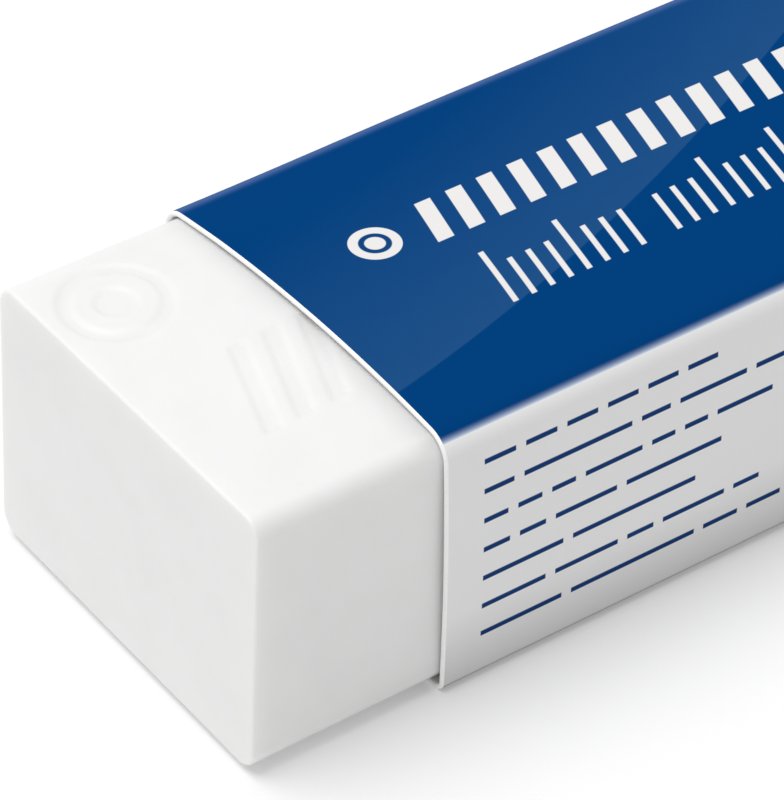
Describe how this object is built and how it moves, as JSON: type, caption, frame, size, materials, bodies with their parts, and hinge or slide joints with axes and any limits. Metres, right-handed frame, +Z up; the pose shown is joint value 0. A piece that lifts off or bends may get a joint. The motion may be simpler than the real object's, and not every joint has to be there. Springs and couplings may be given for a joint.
{
  "type": "rubber eraser",
  "caption": "White vinyl eraser block with one bare end, held in a folded and glued card sleeve that it slides through.",
  "frame": {"origin": "middle of the underside, on the surface that the eraser lies on", "axes": "+X along the eraser from its bare end to its covered end, +Y across it towards the side with the glue lap, +Z up"},
  "size_m": [0.055, 0.0202, 0.0142],
  "materials": {
    "white_vinyl": "smooth matte, slightly soft",
    "printed_card": "coated card, printed blue on the broad faces and white on the narrow ones"
  },
  "bodies": {
    "sleeve": {"card_sleeve": "printed_card"},
    "block": {"eraser_block": "white_vinyl"}
  },
  "joints": [
    {"name": "block_slide", "type": "slide", "parent": "sleeve", "child": "block", "axis": [-1, 0, 0], "range_m": [-0.0091, 0.046]}
  ]
}
